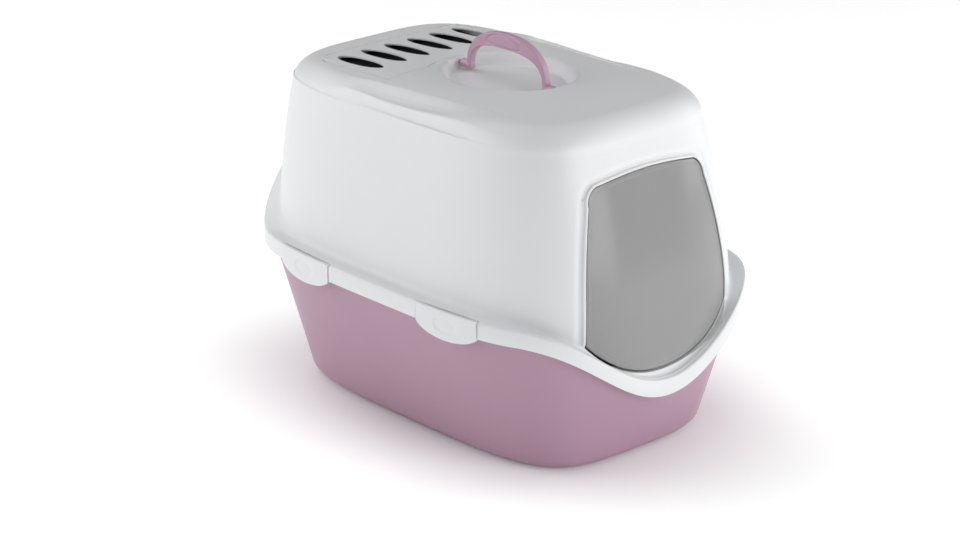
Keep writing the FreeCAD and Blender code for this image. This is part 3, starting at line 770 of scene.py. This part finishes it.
def make_latch(name, side, end):
    """Half-moon latch with a shallow oval thumb recess, following the band's curve."""
    along = np.linspace(-1, 1, 95)
    down = np.linspace(0, 1, 30)
    half = LATCH_HALF - 1.2
    u = along[:, None] * half + 0 * down[None, :]
    arc_low = BAND_LOW - LATCH_DROP * (1 - np.abs(along) ** 2.0) ** 0.62
    z = BAND_TOP - down[None, :] * (BAND_TOP - arc_low[:, None])
    y = end * LATCH_CENTRE + u
    proud = 0.8 + 0 * u
    far = np.sqrt((u / 18.5) ** 2 + ((z - 169.5) / 10.0) ** 2)
    proud = proud - 0.75 * (1 - smoothstep(0.86, 1.0, far))
    outer_x = flange_x(y) + proud
    inner_x = flange_x(y) - 3.2
    front = np.stack([side * outer_x, y, z], axis=2).reshape(-1, 3)
    back = np.stack([side * inner_x, y, z], axis=2).reshape(-1, 3)
    nu, nv = u.shape
    faces = []
    for i in range(nu - 1):
        for j in range(nv - 1):
            a, b, c, d = i * nv + j, (i + 1) * nv + j, (i + 1) * nv + j + 1, i * nv + j + 1
            faces.append((a, b, c, d))
            faces.append((a + nu * nv, d + nu * nv, c + nu * nv, b + nu * nv))
    rim = [i * nv for i in range(nu)] + [(nu - 1) * nv + j for j in range(1, nv)]
    rim += [i * nv + nv - 1 for i in range(nu - 2, -1, -1)] + list(range(nv - 2, 0, -1))
    for k in range(len(rim)):
        a, b = rim[k], rim[(k + 1) % len(rim)]
        faces.append((a, a + nu * nv, b + nu * nv, b))
    latch = mesh_object(name, np.concatenate([front, back]), faces)
    round_edges(latch, 0.7, 3, 50)
    sharp_by_angle(latch, 50)
    return latch


# ---------------------------------------------------------------- tray
def make_tray():
    rim = BAND_TOP - SHELF - RIM_GAP

    def bowl(inset):
        rings = []
        radius = 14.0 - inset
        for angle in np.radians(np.linspace(0, 90, 12)):
            lift = radius * (1 - math.cos(angle))
            shrink = inset + radius * (1 - math.sin(angle)) - 0.25 * lift
            rings.append(ring(floor_size(shrink), 0, level(inset + lift), around=TRAY_AROUND))
        return rings

    def wall(low_ring, high_ring, steps):
        return [low_ring * (1 - t) + high_ring * t for t in np.linspace(0, 1, steps + 1)[1:-1]]

    def at(inset, z):
        return ring(flange_size(inset), 0, following(z), around=TRAY_AROUND)
    outer = bowl(0)
    high = at(7.0, rim - 7.0)
    inside = bowl(3.0)
    high_in = at(10.0, rim)
    rings = [ring(floor_size(60), 0, level(0), around=TRAY_AROUND)]
    rings += outer + wall(outer[-1], high, 24) + [high]
    rings += [at(5.6, rim - 6.3), at(4.9, rim - 5.8), at(4.6, rim - 5.0), at(4.6, rim - 1.0),
              at(4.9, rim - 0.3), at(5.6, rim), at(9.4, rim), at(9.85, rim - 0.2), at(10.0, rim - 0.8)]
    rings += wall(high_in, inside[-1], 24) + inside[::-1]
    rings.append(ring(floor_size(60), 0, level(3.0), around=TRAY_AROUND))
    return rings_object("tray", rings)


# ---------------------------------------------------------------- handle
def make_handle():
    """Arched grip: slim legs, deep middle with an oval pad on both faces, round feet with pegs."""
    stations = 240
    a_out, b_out, n_out = 66.4, 50.0, 2.3
    a_in, b_in, n_in = 60.0, 32.0, 2.8
    half_x = 4.5
    rings = []

    def curve(angle, a, b, n):
        c, s = math.cos(angle), math.sin(angle)
        return np.array([math.copysign(abs(c) ** (2 / n), c) * a, abs(s) ** (2 / n) * b])

    corner = 1.9
    angles = [i / stations * math.pi for i in range(stations + 1)]
    sections = []
    for angle in angles:
        sections.append((curve(angle, a_in, b_in, n_in), curve(angle, a_out, b_out, n_out)))
    first = [(p - np.array([0, k]), q - np.array([0, k])) for k in (3.2, 2.0, 1.0) for p, q in (sections[0],)]
    last = [(p - np.array([0, k]), q - np.array([0, k])) for k in (1.0, 2.0, 3.2) for p, q in (sections[-1],)]
    for inner, outer in first + sections + last:
        middle = (inner + outer) / 2
        depth = np.linalg.norm(outer - inner) / 2
        direction = (outer - inner) / (2 * depth)
        r = min(corner, depth * 0.8)
        profile = []
        flank = np.linspace(-(depth - r), depth - r, 25)
        quarter_turn = np.radians(np.linspace(0, 90, 6))
        top = np.linspace(half_x - r, -(half_x - r), 5)
        profile += [(half_x, v) for v in flank]
        profile += [(half_x - r + r * math.cos(t), depth - r + r * math.sin(t)) for t in quarter_turn[1:]]
        profile += [(v, depth) for v in top[1:-1]]
        profile += [(-half_x + r - r * math.sin(t), depth - r + r * math.cos(t)) for t in quarter_turn]
        profile += [(-half_x, -v) for v in flank[1:]]
        profile += [(-half_x + r - r * math.cos(t), -depth + r - r * math.sin(t)) for t in quarter_turn[1:]]
        profile += [(-v, -depth) for v in top[1:-1]]
        profile += [(half_x - r + r * math.sin(t), -depth + r - r * math.cos(t)) for t in quarter_turn[:-1]]
        loop = []
        for across, out in profile:
            y, z = middle + direction * out
            # the pad: an oval outlined by a fine groove on both faces
            if abs(across) > half_x - 0.4:
                far = math.hypot((y - 4.5) / 27.0, (z - 40.6 + 0.0042 * (y - 4.5) ** 2) / 7.2)
                groove = math.exp(-((far - 1.0) / 0.10) ** 2)
                across = math.copysign(half_x - 1.1 * groove, across)
            loop.append((across, HANDLE_CENTRE + y, HANDLE_PIVOT + z))
        rings.append(np.array(loop))
    arch = rings_object("arch", rings)
    parts = [arch]
    for sign in (-1, 1):
        profile = [(HANDLE_CENTRE + sign * y, r) for y, r in
                   ((59.5, 3.0), (60.0, 4.4), (60.8, 5.1), (61.6, 5.2), (75.6, 5.2), (76.5, 5.0), (77.0, 4.4),
                    (77.0, 2.2), (82.2, 2.2), (83.0, 1.6))]
        parts.append(lathe_y("foot", profile, 0.0, HANDLE_PIVOT))
    return join("handle", parts)


# ---------------------------------------------------------------- materials
def plastic(name, color, roughness, grain=0.25, alpha=1.0, variation=0.02, specular=0.5):
    """Moulded plastic: faint colour drift, uneven gloss and a fine moulded grain."""
    material = bpy.data.materials.new(name)
    material.use_nodes = True
    nodes = material.node_tree.nodes
    links = material.node_tree.links
    shader = nodes["Principled BSDF"]
    coordinates = nodes.new("ShaderNodeTexCoord")
    drift = nodes.new("ShaderNodeTexNoise")
    drift.inputs["Scale"].default_value = 9
    drift.inputs["Detail"].default_value = 4
    mix = nodes.new("ShaderNodeMixRGB")
    mix.inputs[1].default_value = (*[c * (1 - variation) for c in color], 1)
    mix.inputs[2].default_value = (*[min(1, c * (1 + variation)) for c in color], 1)
    cloud = nodes.new("ShaderNodeTexNoise")
    cloud.inputs["Scale"].default_value = 60
    cloud.inputs["Detail"].default_value = 6
    gloss = nodes.new("ShaderNodeMapRange")
    gloss.inputs["To Min"].default_value = roughness - 0.05
    gloss.inputs["To Max"].default_value = roughness + 0.05
    fine = nodes.new("ShaderNodeTexNoise")
    fine.inputs["Scale"].default_value = 1400
    fine.inputs["Detail"].default_value = 3
    wavy = nodes.new("ShaderNodeTexNoise")
    wavy.inputs["Scale"].default_value = 14
    wavy.inputs["Detail"].default_value = 1
    soft = nodes.new("ShaderNodeBump")
    soft.inputs["Strength"].default_value = 0.06
    soft.inputs["Distance"].default_value = 0.002
    bump = nodes.new("ShaderNodeBump")
    bump.inputs["Strength"].default_value = grain
    bump.inputs["Distance"].default_value = 0.00004
    for texture in (drift, cloud, fine, wavy):
        links.new(coordinates.outputs["Object"], texture.inputs["Vector"])
    links.new(drift.outputs["Fac"], mix.inputs[0])
    links.new(mix.outputs[0], shader.inputs["Base Color"])
    links.new(cloud.outputs["Fac"], gloss.inputs["Value"])
    links.new(gloss.outputs["Result"], shader.inputs["Roughness"])
    links.new(wavy.outputs["Fac"], soft.inputs["Height"])
    links.new(fine.outputs["Fac"], bump.inputs["Height"])
    links.new(soft.outputs["Normal"], bump.inputs["Normal"])
    links.new(bump.outputs["Normal"], shader.inputs["Normal"])
    shader.inputs["Alpha"].default_value = alpha
    shader.inputs["Specular IOR Level"].default_value = specular
    return material


def felt(name, color):
    """Carbon felt: matte black with a coarse fibre relief."""
    material = plastic(name, color, 0.9, 0.9, variation=0.3, specular=0.2)
    for node in material.node_tree.nodes:
        if node.type == "BUMP" and node.inputs["Strength"].default_value > 0.5:
            node.inputs["Distance"].default_value = 0.0006
    return material


def set_material(thing, material):
    thing.data.materials.clear()
    thing.data.materials.append(material)


# ---------------------------------------------------------------- build
white = plastic("hood_white", (0.735, 0.745, 0.752), 0.42)
pink = plastic("tray_pink", (0.40, 0.245, 0.33), 0.38)
grip = plastic("handle_pink", (0.52, 0.33, 0.44), 0.40)
smoke = plastic("flap_smoke", (0.43, 0.43, 0.43), 0.18, 0.1, alpha=0.55)
carbon = felt("filter_carbon", (0.012, 0.012, 0.012))

hood_rows, hood_shares = hood_outer()
roof_rows = hood_rows[hood_shares > 0.9]
probe = surface_probe(roof_rows)

hood = make_hood(hood_rows, hood_shares)
door_frame = make_door_frame()
cover = make_cover(probe)
seat = make_filter_seat(probe)
pad = make_pad()
tray = make_tray()

KNUCKLE = ((74.0, 2.6), (74.3, 3.1), (75.0, 3.4), (83.8, 3.4), (84.4, 3.1), (84.6, 2.0), (91.6, 2.0),
           (92.2, 1.5))
LUG = ((89.6, 2.07), (89.6, 2.9), (89.9, 3.3), (92.2, 3.3), (92.8, 2.8))
flap_parts = [make_flap()]
lugs = []
for sign in (-1, 1):
    flap_parts.append(lathe_x("knuckle", [(sign * x, r) for x, r in KNUCKLE], *FLAP_AXIS))
    lugs.append(lathe_x("lug", [(sign * x, r) for x, r in LUG], *FLAP_AXIS))
flap = join("flap", flap_parts)
lug_pair = join("flap_lugs", lugs)
handle = make_handle()

latches = {}
for side, side_name in ((-1, "left"), (1, "right")):
    for end, end_name in ((-1, "front"), (1, "rear")):
        name = f"latch_{end_name}_{side_name}"
        latches[name] = make_latch(f"{name}_tab", side, end)

plan = [
    (hood, "hood", "hood_plastic", white, ["hood_shell"]),
    (door_frame, "hood", "hood_plastic", white, []),
    (seat, "hood", "hood_plastic", white, []),
    (lug_pair, "hood", "hood_plastic", white, []),
    (cover, "filter_lid", "hood_plastic", white, ["filter_cover"]),
    (pad, "filter", "filter_pad", carbon, ["charcoal_filter"]),
    (tray, "tray", "tray_plastic", pink, ["litter_tray"]),
    (flap, "flap", "flap_plastic", smoke, ["flap_door"]),
    (handle, "handle", "handle_plastic", grip, ["carry_handle"]),
]
for name, tab in latches.items():
    plan.append((tab, name, "hood_plastic", white, [name]))
for thing, body, slot_name, material, nodes in plan:
    set_material(thing, material)
    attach(thing, body)
    if nodes:
        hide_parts(*nodes)

# ---------------------------------------------------------------- studio
FLOOR_HALF = 12.0
FLOOR_REACH = (0.19, 0.28)       # the box's half-width and half-length, where the floor's glow begins
floor_mesh = bpy.data.meshes.new("floor")
corners = [(x * FLOOR_HALF, y * FLOOR_HALF, 0) for x, y in ((-1, -1), (1, -1), (1, 1), (-1, 1))]
floor_mesh.from_pydata(corners, [], [(0, 1, 2, 3)])
floor = bpy.data.objects.new("floor", floor_mesh)
bpy.context.scene.collection.objects.link(floor)
floor.location.z = -0.0002
floor_material = bpy.data.materials.new("floor_white")
floor_material.use_nodes = True
shader = floor_material.node_tree.nodes["Principled BSDF"]
shader.inputs["Base Color"].default_value = (0.93, 0.93, 0.93, 1)
shader.inputs["Roughness"].default_value = 0.9
shader.inputs["Specular IOR Level"].default_value = 0.1
shader.inputs["Emission Color"].default_value = (1, 1, 1, 1)
# the floor glows faintly away from the box, so it looks white; the glow fades out towards the box, which
# paints a darker contact shadow round its base on top of the rendered one
floor_nodes = floor_material.node_tree.nodes
place = floor_nodes.new("ShaderNodeTexCoord")
stretch = floor_nodes.new("ShaderNodeVectorMath")
stretch.operation = "MULTIPLY"
stretch.inputs[1].default_value = (1 / FLOOR_REACH[0], 1 / FLOOR_REACH[1], 0)
far_away = floor_nodes.new("ShaderNodeVectorMath")
far_away.operation = "LENGTH"
# emission strength of the floor: none next to the box, which paints its contact shadow, rising to a faint
# glow farther out
glow_and_painted_shadow = floor_nodes.new("ShaderNodeMapRange")
glow_and_painted_shadow.interpolation_type = "SMOOTHSTEP"
glow_and_painted_shadow.inputs["From Min"].default_value = 0.6
glow_and_painted_shadow.inputs["From Max"].default_value = 1.7
glow_and_painted_shadow.inputs["To Min"].default_value = 0.0
glow_and_painted_shadow.inputs["To Max"].default_value = 0.40
floor_links = floor_material.node_tree.links
floor_links.new(place.outputs["Object"], stretch.inputs[0])
floor_links.new(stretch.outputs[0], far_away.inputs[0])
floor_links.new(far_away.outputs["Value"], glow_and_painted_shadow.inputs["Value"])
floor_links.new(glow_and_painted_shadow.outputs["Result"], shader.inputs["Emission Strength"])
set_material(floor, floor_material)


def area_light(name, place, size, power):
    data = bpy.data.lights.new(name, "AREA")
    data.shape = "RECTANGLE"
    data.size, data.size_y = size
    data.energy = power
    light = bpy.data.objects.new(name, data)
    bpy.context.scene.collection.objects.link(light)
    light.location = place
    light.rotation_euler = (LIGHT_AIM - Vector(place)).to_track_quat("-Z", "Y").to_euler()


LIGHT_AIM = Vector((0, 0, 0.2))
area_light("left_box", (-2.8, 0.2, 0.9), (2.4, 2.0), 7)
area_light("left_rear_box", (-2.0, 2.2, 1.2), (2.0, 2.0), 36)
area_light("left_front_box", (-2.6, -1.4, 1.3), (1.6, 1.6), 7)
area_light("front_box", (0.6, -2.9, 1.0), (2.0, 1.8), 43)
area_light("right_box", (2.6, -1.2, 1.2), (2.0, 2.0), 36)
area_light("top_box", (0.0, 0.0, 3.0), (2.6, 2.6), 12)
area_light("top_rear_box", (-0.4, 2.0, 2.4), (2.2, 2.2), 25)

world = bpy.data.worlds.new("studio")
bpy.context.scene.world = world
world.use_nodes = True
world.node_tree.nodes["Background"].inputs["Color"].default_value = (1, 1, 1, 1)
world.node_tree.nodes["Background"].inputs["Strength"].default_value = 0.11

CAMERA_AZIMUTH = math.radians(-42.09)
CAMERA_ELEVATION = math.radians(20.65)
CAMERA_DISTANCE = 3495.3
CAMERA_HEIGHT = 195.88           # point of the middle line the camera looks past
CAMERA_ASIDE = -23.35
CAMERA_ABOVE = -41.31
back = Vector((math.sin(CAMERA_AZIMUTH) * math.cos(CAMERA_ELEVATION),
               -math.cos(CAMERA_AZIMUTH) * math.cos(CAMERA_ELEVATION),
               math.sin(CAMERA_ELEVATION)))
right = Vector((math.cos(CAMERA_AZIMUTH), math.sin(CAMERA_AZIMUTH), 0))
up = back.cross(right)
target = Vector((0, 0, CAMERA_HEIGHT)) + CAMERA_ASIDE * right + CAMERA_ABOVE * up
camera_data = bpy.data.cameras.new("camera")
camera_data.sensor_width = 36
camera_data.lens = 113.25
camera = bpy.data.objects.new("camera", camera_data)
bpy.context.scene.collection.objects.link(camera)
camera.location = (target + CAMERA_DISTANCE * back) * MM
camera.rotation_euler = back.to_track_quat("Z", "Y").to_euler()
bpy.context.scene.camera = camera
bpy.context.scene.view_settings.view_transform = "Standard"

bpy.context.view_layer.update()
